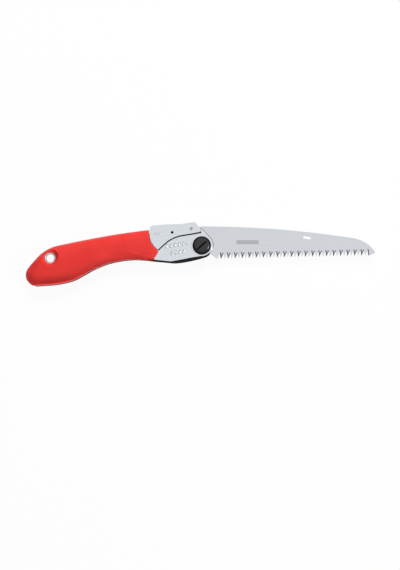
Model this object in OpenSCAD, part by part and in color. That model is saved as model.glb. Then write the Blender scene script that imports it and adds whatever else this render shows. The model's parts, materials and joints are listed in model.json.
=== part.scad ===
// Folding pull saw with its blade open, lying on its left side.
// The blade points to +X, its spine to +Y, and the head of the pivot bolt to +Z.
// Outlines are drawn about the pivot, with z = 0 in the middle of the blade.
// placed() then puts the origin under the middle of the whole saw.

/* [Blade] */
// Distance from the pivot to the tip
blade_reach = 186; // [160:1:187]
// Thickness of the blade
blade_t = 1.2; // [1:0.1:1.4]
// Distance from one tooth to the next
tooth_pitch = 3.77; // [3:0.01:6]
// Depth of the gullets between the teeth
tooth_depth = 5.3; // [3:0.1:6]
// Width of the bevel ground on each edge of a tooth
bevel_w = 1.1; // [0.6:0.1:1.3]
// How far up from the tips the bevels reach
bevel_reach = 6.8; // [6:0.1:7.5]
// Radius of the tang, where the lock pin runs on it
tang_r = 19.1; // [18.5:0.1:19.1]
// How far the blade turns from open to folded, in degrees
fold_angle = 168; // [165:1:168]
// How far the second locked position lies above the first, in degrees
second_angle = 22; // [18:1:22]

/* [Handle] */
// Thickness of the rubber grip where it is widest
grip_t = 22; // [21:0.5:24]
// Thickness of the rubber over the back of the handle
skin = 3.2; // [2.8:0.1:3.6]
// Thickness of each steel side plate
plate_t = 1.5; // [1.2:0.1:1.6]
// Thickness of each nylon liner
liner_t = 2.7; // [2.5:0.1:2.8]
// Width of the slot that the blade folds into
slot_w = 4.6; // [4.4:0.1:4.8]
// How far the liners stand out below the rubber
lip = 0.5; // [0.4:0.1:1]

/* [Pivot] */
// Diameter of the bolt head
head_d = 19.9; // [18:0.1:21]
// Diameter of the ring under the bolt head
ring_d = 22.6; // [22:0.1:24]
// Diameter of the bush that the blade turns on
bush_d = 10; // [9:0.5:11]
// Gap between a turning piece and what it turns on
running_gap = 0.05; // [0.02:0.01:0.1]

/* [Lock lever] */
// Width of the slit under the lever at its rear end
slit_rear_w = 1.2; // [1.1:0.1:1.4]
// Width of the slit under the lever at its front end
slit_front_w = 1.5; // [1.4:0.1:1.6]
// Diameter of the pin that locks the blade
lock_pin_d = 4; // [3.8:0.1:4]
// How far the lever turns from rest to drop the pin into a notch, in degrees
engage_angle = 2.6; // [2:0.1:2.6]

/* [Lanyard hole] */
// Diameter of the hole through the eyelet
lanyard_d = 8.6; // [7:0.1:9]
// Diameter of the eyelet's flange
eyelet_d = 12.5; // [12:0.1:13]
// Diameter of the recess in the rubber round the eyelet
recess_d = 16; // [15:0.5:17]

/* [Hidden] */
$fn = 64;
eps = 0.01;
far = 40;

// Heights of the layers above the middle of the blade
liner_in = slot_w / 2;
plate_in = liner_in + liner_t;
plate_out = plate_in + plate_t;
ring_t = 0.6;
head_h = 3.9;
nut_h = grip_t / 2 - plate_out - 0.05;

// Radii that a pin shares with the holes it goes through
bolt_r = bush_d / 2 - 1;
thread_r = 3;
rivet_r = 2;
lever_pin_r = 1.5;
lock_pin_end_r = lock_pin_d / 2 - 0.25;
eyelet_r = eyelet_d / 2 - 1.15;

// Places of the pins, seen from the right side
lever_pin_at = [-31.6, 14.2];
lock_pin_at = [-11.2, 18];
eyelet_at = [-162.4, -13.6];
rivets_at = [[-70, 6.5], [-108, -1], [-143, -8.5]];
spring_at = [-46.5, 12];

// Ends of the saw about the pivot: tail, tip, lowest and highest edge
tail_x = -188.9;
low_y = -43.6;
high_y = 25;

function mix(a, b, t) = a + (b - a) * t;
function ease(t) = let(u = min(max(t, 0), 1)) u * u * (3 - 2 * u);
function reversed(c) = [for (i = [len(c) - 1:-1:0]) c[i]];
function turned(p, angle) = [p.x * cos(angle) - p.y * sin(angle), p.x * sin(angle) + p.y * cos(angle)];
function arc(r, from, to, steps, centre = [0, 0]) =
    [for (i = [0:steps]) let(a = mix(from, to, i / steps)) centre + r * [cos(a), sin(a)]];

// A smooth curve through every point of p, in the given steps from point to point
function between(a, b, c, d, t) =
    0.5 * (2 * b + (c - a) * t + (2 * a - 5 * b + 4 * c - d) * t * t + (3 * b - a - 3 * c + d) * t * t * t);
function smooth(p, steps) = concat(
    [for (i = [0:len(p) - 2]) for (k = [0:steps - 1])
        between(p[max(i - 1, 0)], p[i], p[i + 1], p[min(i + 2, len(p) - 1)], k / steps)],
    [p[len(p) - 1]]);

// The curve c moved sideways to its left, by a distance that goes from d0 to d1 along it
function left_of(c, i) =
    let(v = c[min(i + 1, len(c) - 1)] - c[max(i - 1, 0)]) [-v.y, v.x] / norm(v);
function beside(c, d0, d1) =
    [for (i = [0:len(c) - 1]) c[i] + mix(d0, d1, i / (len(c) - 1)) * left_of(c, i)];
// Only the points of a curve between two x values
function within(c, x0, x1) = [for (p = c) if (p.x > x0 && p.x < x1) p];

// The back and the belly of the grip, both from the tail to the front
grip_steps = 6;
grip_back = smooth([[tail_x, -32.4], [-187.5, -26.6], [-181.8, -19], [-171.8, -8.6], [-160, -1.8], [-146, 1.6],
    [-130, 4.9], [-112, 8.3], [-93, 11.7], [-72, 14.7], [-46, 18]], grip_steps);
grip_belly = smooth([[tail_x, -32.4], [-187, -37.6], [-180.8, -43], [-170, -43.1], [-154, -41.7], [-138, -38],
    [-127, -32.5], [-113, -24.8], [-95, -18.4], [-72, -15.3], [-46, -17.1]], grip_steps);
// Half the grip's thickness at the same places, as a share of the widest
grip_share = smooth([0, 0.47, 0.78, 0.92, 0.97, 0.99, 1, 1, 0.97, 0.89, 0.78], grip_steps);
// The front end of the rubber, from its top corner round the lever to its lower edge
grip_front = concat(smooth([[-57.2, 18], [-57.1, 13], [-56.6, 8.6], [-55.1, 3.6], [-52.2, -0.8], [-48, -4.6]], 3),
    [[-47, -6.3], [-53.6, -17.6]]);
// The edge under the finger, where the flat side turns inwards
crease = [[-92, 2], [-80, -4], [-70, -9], [-59, -12.3], [-50, -14.6]];
crease_slope = 0.75;

// The dark slit between the lever and the side plates, from the rear to the front
slit = smooth([[-46.6, -5], [-41, 0.2], [-34, 5.8], [-25, 9.7], [-13, 11.8], [-0.4, 14.1]], 5);
lever_front_r = 30.2;
lever_gap = 0.4;
// The lever's top edge from the rear to the front corner
lever_top = [[-52.7, 21.3], [-48.6, 21.8], [-42, 22.4], [-36, 22.7], [-29, 22.85], [-22.9, 23.05], [-19, 23.4],
    [-12.8, 24.6], [-9.8, high_y], [-7.7, 24.9], [-6.7, 24.4]];
// The lever's rear corner, and the hollow edge down from its front corner
lever_rear = concat(arc(3.3, 98, 160, 5, [-52.3, 17.9]), [[-55.7, 17.7]]);
lever_brow = [[-5.4, 23.2], [-4.7, 22.1], [-3.9, 21.1], [-2.6, 20.5]];

// The plates' front end is round about the pivot, with a straight horn up to the blade's spine
nose_r = 12.3;
horn_tip = [-1.2, 19];

// The folded blade's tooth line, and the spacer's lower edge above it
first_tooth = [20.6, -14.3];
tooth_rise = 0.0232;
function fold_line(x) =
    let(a = turned(first_tooth, -fold_angle), b = turned([180, first_tooth.y + tooth_rise * 159], -fold_angle))
        mix(a.y, b.y, (x - a.x) / (b.x - a.x));
spacer_room = 2.8;

// Edges that the handle's inner pieces share
inner_back = beside(grip_back, -skin, -skin);
plate_belly = beside(grip_belly, 2, 2);
liner_belly = beside(grip_belly, -lip, -lip);

module placed() {
    translate([-(tail_x + blade_reach) / 2, -(low_y + high_y) / 2, grip_t / 2]) children();
}

// A flat piece between two heights
module layer(z0, z1, outline) {
    translate([0, 0, z0]) linear_extrude(z1 - z0) polygon(outline);
}

// A straight hole or pin along Z
module pin(at, r, z0, z1) {
    translate([at.x, at.y, z0]) cylinder(r = r, h = z1 - z0);
}

// ---- Handle ----

plate_outline = concat(
    reversed(beside(slit, -slit_rear_w / 2, -slit_front_w / 2)),
    [for (p = reversed(grip_front)) if (p.y > -4.4 && p.y < 12) p + [-0.6, -0.3]],
    [[-57.9, 12.6]],
    reversed(within(inner_back, -177, -58)),
    within(plate_belly, -176, -56),
    [[-50, -15.3], [-33, -17], [-18, -14.3], [-10.5, -12.8], [-4.5, -11.8]],
    arc(nose_r, -74, 44, 24),
    [horn_tip],
    arc(lever_front_r + lever_gap, 9, 1.4, 3, lever_pin_at));

liner_outline = concat(
    [[1.6, 15], [-22, 14.4], [-23, 20], [-52.4, 18.4], [-52.4, 12.8]],
    reversed(within(inner_back, -181, -58)),
    within(liner_belly, -179, -54),
    smooth([[-48, -17.7], [-41, -18.2], [-34, -18.9], [-28, -19.3], [-19, -18.3], [-9.4, -16.4], [-1.4, -14.4],
        [5, -12.4]], 2),
    [[8.2, -10.2], [8.7, -9.2]],
    arc(nose_r - 0.6, -42, 44, 16));

spacer_outline = concat(
    [[-42, fold_line(-42) + spacer_room], [-42, spring_at.y], [-57.5, spring_at.y]],
    reversed(within(inner_back, -178, -58)),
    [[-178, fold_line(-178) + spacer_room + 1]]);

// The space that the folded blade needs behind the front end, with the path of its tip at the rear
tip_path_r = blade_reach + 0.9;
room_rear = -sqrt(pow(tip_path_r, 2) - pow(26, 2));
blade_room = concat(
    [[-40, 20], [room_rear, fold_line(room_rear) + spacer_room]],
    arc(tip_path_r, 188.4, 199, 6),
    [[-40, -60]]);

module side_plate() {
    difference() {
        layer(plate_in, plate_out, plate_outline);
        pin([0, 0], bolt_r + running_gap, 0, far);
        pin(eyelet_at, eyelet_r, 0, far);
        for (at = rivets_at) pin(at, rivet_r, 0, far);
    }
}

module liner() {
    difference() {
        layer(liner_in, plate_in, liner_outline);
        pin([0, 0], bush_d / 2 + running_gap, 0, far);
        pin(lever_pin_at, lever_pin_r, 0, far);
        pin(eyelet_at, eyelet_r, 0, far);
        for (at = rivets_at) pin(at, rivet_r, 0, far);
    }
}

module side_plate_right() {
    color("silver") placed() side_plate();
}

module side_plate_left() {
    color("silver") placed() mirror([0, 0, 1]) side_plate();
}

module liner_right() {
    color([0.1, 0.1, 0.11]) placed() liner();
}

module liner_left() {
    color([0.1, 0.1, 0.11]) placed() mirror([0, 0, 1]) liner();
}

module back_spacer() {
    color([0.13, 0.13, 0.14]) placed() difference() {
        layer(-liner_in, liner_in, spacer_outline);
        pin(eyelet_at, eyelet_r, -far, far);
        for (at = rivets_at) pin(at, rivet_r, -far, far);
    }
}

module frame_rivets() {
    color([0.7, 0.71, 0.73]) placed() for (at = rivets_at) pin(at, rivet_r, -plate_out, plate_out);
}

// A tube with a flange on each side plate
module lanyard_eyelet() {
    flange_t = 0.8;
    color([0.85, 0.86, 0.88]) placed() difference() {
        union() {
            pin(eyelet_at, eyelet_r, -plate_out - flange_t, plate_out + flange_t);
            for (side = [0, 1]) mirror([0, 0, side]) pin(eyelet_at, eyelet_d / 2, plate_out, plate_out + flange_t);
        }
        pin(eyelet_at, lanyard_d / 2, -far, far);
    }
}

// The grip's skin: a ring of points for each pair of points on the back and the belly
ring_points = 44;
corner_power = 3;
function pressed(s) = sign(s) * pow(abs(s), 2 / corner_power);
function crease_y(x) = x < crease[0].x ? -far : lookup(x, crease);
// Below the crease, the flat side slopes in towards the slot
function flank(p, half) =
    let(below = max(crease_y(p.x) - p.y, 0) * ease((p.x - crease[0].x) / 14),
        most = max(half - crease_slope * below, plate_out + 0.6))
        [p.x, p.y, sign(p.z) * min(abs(p.z), most)];
function grip_ring(i) =
    let(middle = (grip_back[i] + grip_belly[i]) / 2, reach = (grip_back[i] - grip_belly[i]) / 2,
        half = grip_share[i] * grip_t / 2)
        [for (k = [0:ring_points - 1]) let(a = 360 * (k + 0.5) / ring_points,
            at = middle + reach * pressed(cos(a))) flank([at.x, at.y, half * pressed(sin(a))], half)];

module grip_skin() {
    last = len(grip_back) - 1;
    points = concat([[tail_x, grip_back[0].y, 0]], [for (i = [1:last]) each grip_ring(i)]);
    function at(i, k) = 1 + (i - 1) * ring_points + (k + ring_points) % ring_points;
    polyhedron(points, concat(
        [for (k = [0:ring_points - 1]) [0, at(1, k), at(1, k + 1)]],
        [for (i = [1:last - 1]) for (k = [0:ring_points - 1]) each
            [[at(i, k), at(i + 1, k), at(i + 1, k + 1)], [at(i, k), at(i + 1, k + 1), at(i, k + 1)]]],
        [[for (k = [ring_points - 1:-1:0]) at(last, k)]]));
}

module grip_rubber() {
    front = concat(grip_front, [[-53.6, -far], [0, -far], [0, far], [-57.2, far]]);
    recess_floor = plate_out + 0.8;
    color([0.9, 0.22, 0.2]) placed() difference() {
        grip_skin();
        layer(-plate_out, plate_out, plate_outline);
        layer(-plate_in, plate_in, liner_outline);
        layer(-liner_in, liner_in, blade_room);
        layer(-far, far, front);
        pin(eyelet_at, eyelet_d / 2, -far, far);
        for (side = [0, 1]) mirror([0, 0, side]) pin(eyelet_at, recess_d / 2, recess_floor, far);
    }
}

// ---- Pivot ----

// The head is a low dome with a coin slot; the shank runs through to the nut
module pivot_bolt() {
    seat = plate_out + ring_t;
    top = seat + head_h;
    coin_slot = [13.6, 2.2, 1.4];
    color([0.16, 0.16, 0.18]) placed() difference() {
        union() {
            rotate_extrude() polygon([[0, seat], [head_d / 2 - 0.3, seat], [head_d / 2, seat + 0.3],
                [head_d / 2, top - 1.5], [head_d / 2 - 0.5, top - 0.8], [head_d / 2 - 1.6, top - 0.2],
                [head_d / 2 - 2.6, top], [0, top]]);
            pin([0, 0], bolt_r - running_gap, -plate_out + 0.1, seat + eps);
            pin([0, 0], thread_r, -plate_out - nut_h + 1, -plate_out + 0.2);
        }
        rotate([0, 0, 43]) translate([0, 0, top]) cube(coin_slot + [0, 0, coin_slot.z], center = true);
    }
}

module bolt_ring() {
    color("silver") placed() difference() {
        rotate_extrude() polygon([[bolt_r, plate_out], [ring_d / 2, plate_out],
            [ring_d / 2 - 0.4, plate_out + ring_t], [bolt_r, plate_out + ring_t]]);
    }
}

// A round nut with two flats for a spanner
module pivot_nut() {
    nut_r = 9.2;
    base = -plate_out;
    foot = base - nut_h;
    color([0.16, 0.16, 0.18]) placed() difference() {
        rotate_extrude() polygon([[thread_r + running_gap, base], [nut_r, base], [nut_r, foot + 0.8],
            [nut_r - 0.8, foot], [0, foot], [0, foot + 0.9], [thread_r + running_gap, foot + 0.9]]);
        for (side = [-1, 1]) translate([side * (nut_r + 3.9), 0, base - 1.2 - far / 2])
            cube([10, far, far], center = true);
    }
}

module pivot_bush() {
    color([0.75, 0.76, 0.78]) placed() difference() {
        pin([0, 0], bush_d / 2, -plate_in, plate_in);
        pin([0, 0], bolt_r, -far, far);
    }
}

module blade_washer() {
    washer_r = 9.5;
    difference() {
        pin([0, 0], washer_r, blade_t / 2 + running_gap, liner_in);
        pin([0, 0], bush_d / 2 + running_gap, -far, far);
    }
}

module washer_right() {
    color([0.92, 0.91, 0.86]) placed() blade_washer();
}

module washer_left() {
    color([0.92, 0.91, 0.86]) placed() mirror([0, 0, 1]) blade_washer();
}

// ---- Lock lever ----

lever_outline = concat(
    beside([for (p = slit) if (p.x < -2) p], slit_rear_w / 2, slit_front_w / 2),
    arc(lever_front_r, 1.6, 10.2, 4, lever_pin_at),
    reversed(lever_brow),
    reversed(lever_top),
    lever_rear,
    [[-56.1, 13.6], [-55.6, 8.8], [-54.1, 3.9], [-51.4, -0.3], [-48.3, -3.3]]);

// The sheet that joins the two cheeks along the top and round the rear corner
lever_wall = 1.5;
lever_roof = concat(
    reversed(lever_top),
    lever_rear,
    [[-56, 15.6], [-54.5, 15.6]],
    reversed(beside(concat(reversed(lever_top), lever_rear), lever_wall, lever_wall)));

module lock_lever() {
    color("silver") placed() difference() {
        union() {
            layer(plate_in, plate_out, lever_outline);
            layer(-plate_out, -plate_in, lever_outline);
            layer(-plate_out, plate_out, lever_roof);
        }
        pin(lever_pin_at, lever_pin_r + running_gap, -far, far);
        pin(lock_pin_at, lock_pin_end_r, -far, far);
    }
}

// The ends of the pin are riveted over in the cheeks, each with a small dimple
module lock_pin() {
    color([0.72, 0.73, 0.75]) placed() difference() {
        union() {
            pin(lock_pin_at, lock_pin_d / 2, -plate_in, plate_in);
            pin(lock_pin_at, lock_pin_end_r, -plate_out, plate_out);
        }
        for (side = [0, 1]) mirror([0, 0, side]) pin(lock_pin_at, 0.8, plate_out - 0.4, far);
    }
}

// A roll pin: a split tube that the lever turns on
module lever_pin() {
    color([0.55, 0.56, 0.58]) placed() difference() {
        pin(lever_pin_at, lever_pin_r, -plate_out + 0.1, plate_out - 0.1);
        pin(lever_pin_at, 0.85, -far, far);
        translate([lever_pin_at.x - 0.2, lever_pin_at.y, -far / 2]) cube([0.4, 2, far]);
    }
}

// A coil spring that stands on the spacer and pushes the rear of the lever up
module lever_spring() {
    wire_r = 0.3;
    coil_r = 1.75;
    turns = 6;
    sides = 6;
    per_turn = 10;
    low = spring_at.y + wire_r;
    high = lookup(spring_at.x, lever_top) - lever_wall - wire_r - 0.05;
    rings = turns * per_turn;
    function coil(i) =
        let(a = 360 * i / per_turn, out = [cos(a), 0, sin(a)], y = mix(low, high, i / rings))
            [for (k = [0:sides - 1]) let(b = 360 * k / sides)
                [spring_at.x, y, 0] + out * (coil_r + wire_r * cos(b)) + [0, wire_r * sin(b), 0]];
    function at(i, k) = i * sides + k % sides;
    color([0.6, 0.61, 0.63]) placed() polyhedron(
        [for (i = [0:rings]) each coil(i)],
        concat([[for (k = [0:sides - 1]) at(0, k)]],
            [for (i = [0:rings - 1]) for (k = [0:sides - 1]) each
                [[at(i, k), at(i + 1, k), at(i + 1, k + 1)], [at(i, k), at(i + 1, k + 1), at(i, k + 1)]]],
            [[for (k = [sides - 1:-1:0]) at(rings, k)]]));
}

// ---- Blade ----

tooth_count = floor((blade_reach - 7 - first_tooth.x) / tooth_pitch) + 1;
function tooth_at(k) = first_tooth + [tooth_pitch, tooth_pitch * tooth_rise] * k;
gullet_back = 1;
// The tip, the straight edge up to the gullet, and the gullet's small round
function tooth(k) =
    let(p = tooth_at(k), next = tooth_pitch - gullet_back)
        [p + [-0.1, 0], p + [0.15, 0], p + [next - 0.3, tooth_depth - 0.3], p + [next, tooth_depth],
            p + [next + 0.25, tooth_depth - 0.35]];

// The tang is round where the lock pin runs, and shallower below, inside the handle
function tang_edge(a) = mix(tang_r, nose_r - 0.1, ease((a - 200) / 70));
shoulder_angle = 93.5;
spine = smooth([[-1.2, 20.7], [16, 20.5], [38, 19.9], [60, 18.9], [82, 17.5], [104, 15.4], [126, 13], [146, 10.4],
    [blade_reach - 23, 8], [blade_reach - 15, 5.6], [blade_reach - 7.6, 1.4], [blade_reach - 2.1, -4],
    [blade_reach, -7.2]], 3);
blade_outline = concat(
    [for (i = [0:24]) let(a = mix(shoulder_angle, 315, i / 24)) tang_edge(a) * [cos(a), sin(a)]],
    [[15.1, -13.4], [17.3, -13.8], [17.8, -13.4], [18.6, -9.2], [18.9, -8.9], [19.3, -9.4]],
    [for (k = [0:tooth_count - 2]) each tooth(k)],
    [tooth_at(tooth_count - 1) + [-0.1, 0], tooth_at(tooth_count - 1) + [0.6, 0.1], [blade_reach - 0.8, -8.4]],
    reversed(spine));

// Where the lever's pin stands once it has dropped into a notch
dropped_pin = lever_pin_at + turned(lock_pin_at - lever_pin_at, -engage_angle);

// The wedge ground off one edge of a tooth: side is 1 for its front edge and -1 for its back edge
module bevel(at, lean, side) {
    land = 0.12;
    out = 0.08;
    slope = (blade_t - land) / bevel_w;
    translate([at.x, at.y, 0]) rotate([0, 0, -lean]) rotate([90, 0, 0]) translate([0, 0, -bevel_reach])
        linear_extrude(bevel_reach + 1) polygon([[-side * out, land - blade_t / 2 - out * slope],
            [side * (bevel_w + 0.1), blade_t / 2 + 0.1 * slope], [-side * out, blade_t / 2 + 0.1 * slope]]);
}

// The two bevels of tooth k, on the right side of even teeth and the left side of odd ones
module bevels(k) {
    front_lean = -atan2(gullet_back - 0.35, tooth_depth - 0.35);
    back_lean = atan2(tooth_pitch - gullet_back - 0.45, tooth_depth - 0.3);
    mirror([0, 0, k % 2]) {
        bevel(tooth_at(k) + [-0.1, 0], front_lean, 1);
        if (k < tooth_count - 1) bevel(tooth_at(k) + [0.15, 0], back_lean, -1);
    }
}

module blade() {
    slot_at = [112.9, 8.4];
    color([0.84, 0.86, 0.88]) placed() difference() {
        layer(-blade_t / 2, blade_t / 2, blade_outline);
        pin([0, 0], bush_d / 2 + running_gap, -far, far);
        for (a = [0, -second_angle]) rotate([0, 0, a])
            pin(dropped_pin, lock_pin_d / 2 + running_gap, -far, far);
        translate([slot_at.x, slot_at.y, 0]) rotate([0, 0, -8]) {
            cube([5.8, 2.4, far], center = true);
            for (end = [-2.9, 2.9]) pin([end, 0], 1.2, -far, far);
        }
        for (k = [0:tooth_count - 1]) bevels(k);
    }
}

grip_rubber();
side_plate_right();
side_plate_left();
liner_right();
liner_left();
back_spacer();
frame_rivets();
lanyard_eyelet();
pivot_bolt();
bolt_ring();
pivot_nut();
pivot_bush();
washer_right();
washer_left();
lever_pin();
lever_spring();
lock_lever();
lock_pin();
blade();
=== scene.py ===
import json
import math

import bpy
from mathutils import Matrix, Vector


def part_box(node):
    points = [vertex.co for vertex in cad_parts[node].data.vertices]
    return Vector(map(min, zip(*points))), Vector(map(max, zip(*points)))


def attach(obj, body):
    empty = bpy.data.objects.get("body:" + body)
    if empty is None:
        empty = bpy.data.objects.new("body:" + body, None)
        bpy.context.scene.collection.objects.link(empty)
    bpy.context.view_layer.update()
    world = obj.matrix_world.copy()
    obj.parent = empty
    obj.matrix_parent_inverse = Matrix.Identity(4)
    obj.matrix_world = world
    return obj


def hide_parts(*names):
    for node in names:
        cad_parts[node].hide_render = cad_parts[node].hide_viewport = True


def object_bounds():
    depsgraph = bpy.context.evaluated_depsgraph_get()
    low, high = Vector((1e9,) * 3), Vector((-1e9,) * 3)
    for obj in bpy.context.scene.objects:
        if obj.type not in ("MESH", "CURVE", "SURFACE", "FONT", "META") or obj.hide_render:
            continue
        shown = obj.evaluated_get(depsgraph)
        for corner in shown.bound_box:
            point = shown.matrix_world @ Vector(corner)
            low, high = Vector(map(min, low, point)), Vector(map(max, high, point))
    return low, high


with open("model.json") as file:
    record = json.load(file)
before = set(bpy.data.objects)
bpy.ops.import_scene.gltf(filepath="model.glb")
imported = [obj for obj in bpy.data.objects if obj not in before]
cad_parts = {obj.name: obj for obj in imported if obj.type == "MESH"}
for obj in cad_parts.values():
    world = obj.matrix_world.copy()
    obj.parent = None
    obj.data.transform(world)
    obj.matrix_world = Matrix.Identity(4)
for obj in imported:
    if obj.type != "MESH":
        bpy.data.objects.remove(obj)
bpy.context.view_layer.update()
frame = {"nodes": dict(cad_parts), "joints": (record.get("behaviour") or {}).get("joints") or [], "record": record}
nodes = frame["nodes"]
joints = {joint["name"]: joint for joint in frame["joints"]}
mounts = {mount["name"]: mount for mount in frame["record"]["mounts"]}
print("frame loaded")

mm = 0.001
pivotAt = Vector(joints["blade_fold"]["pos_m"])
leverPinAt = Vector(joints["lever_press"]["pos_m"])
eyeletAt = Vector(mounts["lanyard_hole"]["pos_m"])
middleZ = pivotAt.z  # the middle of the blade's thickness
plateFace = 6.5  # from the middle to the outer face of the plates and the lever's cheeks, in millimetres


def fromPivot(x, y, z=0.0):
    # a place in millimetres about the pivot, with z from the middle of the blade
    return pivotAt + Vector((x, y, z)) * mm


def selectOnly(piece):
    if bpy.context.mode != "OBJECT":
        bpy.ops.object.mode_set(mode="OBJECT")
    bpy.ops.object.select_all(action="DESELECT")
    piece.select_set(True)
    bpy.context.view_layer.objects.active = piece


def editMode(piece, kind="VERT"):
    selectOnly(piece)
    bpy.ops.object.mode_set(mode="EDIT")
    bpy.ops.mesh.select_mode(type=kind)


def objectMode():
    bpy.ops.object.mode_set(mode="OBJECT")


def applyModifier(piece, kind, **settings):
    selectOnly(piece)
    bpy.ops.object.modifier_add(type=kind)
    modifier = piece.modifiers[-1]
    for name, value in settings.items():
        setattr(modifier, name, value)
    bpy.ops.object.modifier_apply(modifier=modifier.name)


def settle(piece):
    # the place goes into the mesh, and the object stays at the origin
    selectOnly(piece)
    bpy.ops.object.transform_apply(location=True, rotation=True, scale=True)


def copyOfNode(nodeName, pieceName, flatAngle=1.0):
    piece = bpy.data.objects.new(pieceName, nodes[nodeName].data.copy())
    bpy.context.scene.collection.objects.link(piece)
    piece.data.materials.clear()
    selectOnly(piece)
    bpy.ops.mesh.customdata_custom_splitnormals_clear()
    editMode(piece)
    bpy.ops.mesh.select_all(action="SELECT")
    bpy.ops.mesh.remove_doubles(threshold=0.003 * mm)
    bpy.ops.mesh.dissolve_limited(angle_limit=math.radians(flatAngle))
    objectMode()
    return piece


def roundEdges(piece, width, segments=3, angle=35.0):
    applyModifier(piece, "BEVEL", width=width, segments=segments, limit_method="ANGLE",
                  angle_limit=math.radians(angle), use_clamp_overlap=True, miter_outer="MITER_ARC")


def smoothShade(piece, angle=40.0):
    selectOnly(piece)
    bpy.ops.object.shade_smooth_by_angle(angle=math.radians(angle))
    applyModifier(piece, "WEIGHTED_NORMAL", keep_sharp=True)


def selectEdges(piece, test):
    # leaves the edges whose two ends pass the test selected, in edit mode
    editMode(piece, "EDGE")
    bpy.ops.mesh.select_all(action="DESELECT")
    objectMode()
    corners = piece.data.vertices
    for edge in piece.data.edges:
        edge.select = test(corners[edge.vertices[0]].co, corners[edge.vertices[1]].co)
    bpy.ops.object.mode_set(mode="EDIT")


def bevelEdges(piece, test, width, segments, clamp=False):
    selectEdges(piece, test)
    bpy.ops.mesh.bevel(offset=width, segments=segments, affect="EDGES", clamp_overlap=clamp)
    objectMode()


def addBlock(centre, size, turn=0.0):
    # a box turned about Z by an angle in degrees
    bpy.ops.object.select_all(action="DESELECT")
    bpy.ops.mesh.primitive_cube_add(size=1, location=centre, rotation=(0, 0, math.radians(turn)), scale=size)
    piece = bpy.context.active_object
    settle(piece)
    return piece


def joinInto(piece, others):
    selectOnly(piece)
    for other in others:
        other.select_set(True)
    bpy.ops.object.join()


def spunPiece(name, centre, profile, steps=96):
    # profile holds (radius, height) in millimetres about the axis through centre
    places = [centre + Vector((radius, 0, height)) * mm for radius, height in profile]
    bpy.ops.object.select_all(action="DESELECT")
    bpy.ops.mesh.primitive_plane_add(size=mm, location=places[0])
    piece = bpy.context.active_object
    piece.name = name
    settle(piece)
    editMode(piece)
    bpy.ops.mesh.select_all(action="SELECT")
    bpy.ops.mesh.merge(type="CENTER")
    for before, after in zip(places, places[1:]):
        bpy.ops.mesh.extrude_region_move(TRANSFORM_OT_translate={"value": after - before})
    bpy.ops.mesh.select_all(action="SELECT")
    bpy.ops.mesh.spin(steps=steps, angle=2 * math.pi, center=centre, axis=(0, 0, 1))
    bpy.ops.mesh.select_all(action="SELECT")
    bpy.ops.mesh.remove_doubles(threshold=0.002 * mm)
    bpy.ops.mesh.normals_make_consistent(inside=False)
    objectMode()
    return piece


def quarter(centre, radius, start, end, steps):
    # points of an arc in a profile, angles in degrees
    angles = [math.radians(start + (end - start) * i / steps) for i in range(steps + 1)]
    return [(centre[0] + radius * math.cos(a), centre[1] + radius * math.sin(a)) for a in angles]


def cutAway(piece, cutter):
    applyModifier(piece, "BOOLEAN", object=cutter, operation="DIFFERENCE", solver="EXACT")
    bpy.data.objects.remove(cutter)


def finishPiece(piece, body, slot, material, *replaced):
    piece.data.materials.clear()
    piece.data.materials.append(material)
    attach(piece, body)
    if replaced:
        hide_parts(*replaced)


def giveFaces(piece, finish, test):
    # a second finish on the faces that pass the test
    piece.data.materials.append(finish)
    editMode(piece, "FACE")
    bpy.ops.mesh.select_all(action="DESELECT")
    objectMode()
    for face in piece.data.polygons:
        face.select = test(face)
    bpy.ops.object.mode_set(mode="EDIT")
    piece.active_material_index = 1
    bpy.ops.object.material_slot_assign()
    objectMode()


def newGroup(name, inputs, outputs):
    group = bpy.data.node_groups.new(name, "ShaderNodeTree")
    for socketName, socketType, value in inputs:
        socket = group.interface.new_socket(name=socketName, in_out="INPUT", socket_type=socketType)
        socket.default_value = value
    for socketName, socketType in outputs:
        group.interface.new_socket(name=socketName, in_out="OUTPUT", socket_type=socketType)
    start = group.nodes.new("NodeGroupInput")
    end = group.nodes.new("NodeGroupOutput")
    return group, start, end


def mathNode(tree, operation, first, second=None, clamp=False):
    node = tree.nodes.new("ShaderNodeMath")
    node.operation = operation
    node.use_clamp = clamp
    for socket, value in zip(node.inputs, (first, second)):
        if isinstance(value, bpy.types.NodeSocket):
            tree.links.new(value, socket)
        elif value is not None:
            socket.default_value = value
    return node.outputs[0]


def rangeNode(tree, value, low, high, toLow=0.0, toHigh=1.0):
    node = tree.nodes.new("ShaderNodeMapRange")
    tree.links.new(value, node.inputs["Value"])
    for name, amount in (("From Min", low), ("From Max", high), ("To Min", toLow), ("To Max", toHigh)):
        node.inputs[name].default_value = amount
    return node.outputs[0]


def makeGrain():
    # fine moulded or blasted grain: Size is the width of one grain in millimetres
    group, start, end = newGroup(
        "fineGrain",
        [("Size", "NodeSocketFloat", 0.4), ("Roughen", "NodeSocketFloat", 0.5)],
        [("Height", "NodeSocketFloat"), ("Patches", "NodeSocketFloat")])
    place = group.nodes.new("ShaderNodeTexCoord")
    scale = mathNode(group, "DIVIDE", 1 / mm, start.outputs["Size"])
    noise = group.nodes.new("ShaderNodeTexNoise")
    noise.inputs["Detail"].default_value = 3.0
    group.links.new(start.outputs["Roughen"], noise.inputs["Roughness"])
    broad = group.nodes.new("ShaderNodeTexNoise")
    broad.inputs["Scale"].default_value = 45.0
    broad.inputs["Detail"].default_value = 2.0
    for texture in (noise, broad):
        group.links.new(place.outputs["Object"], texture.inputs["Vector"])
    group.links.new(scale, noise.inputs["Scale"])
    group.links.new(noise.outputs["Fac"], end.inputs["Height"])
    group.links.new(broad.outputs["Fac"], end.inputs["Patches"])
    return group


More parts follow.
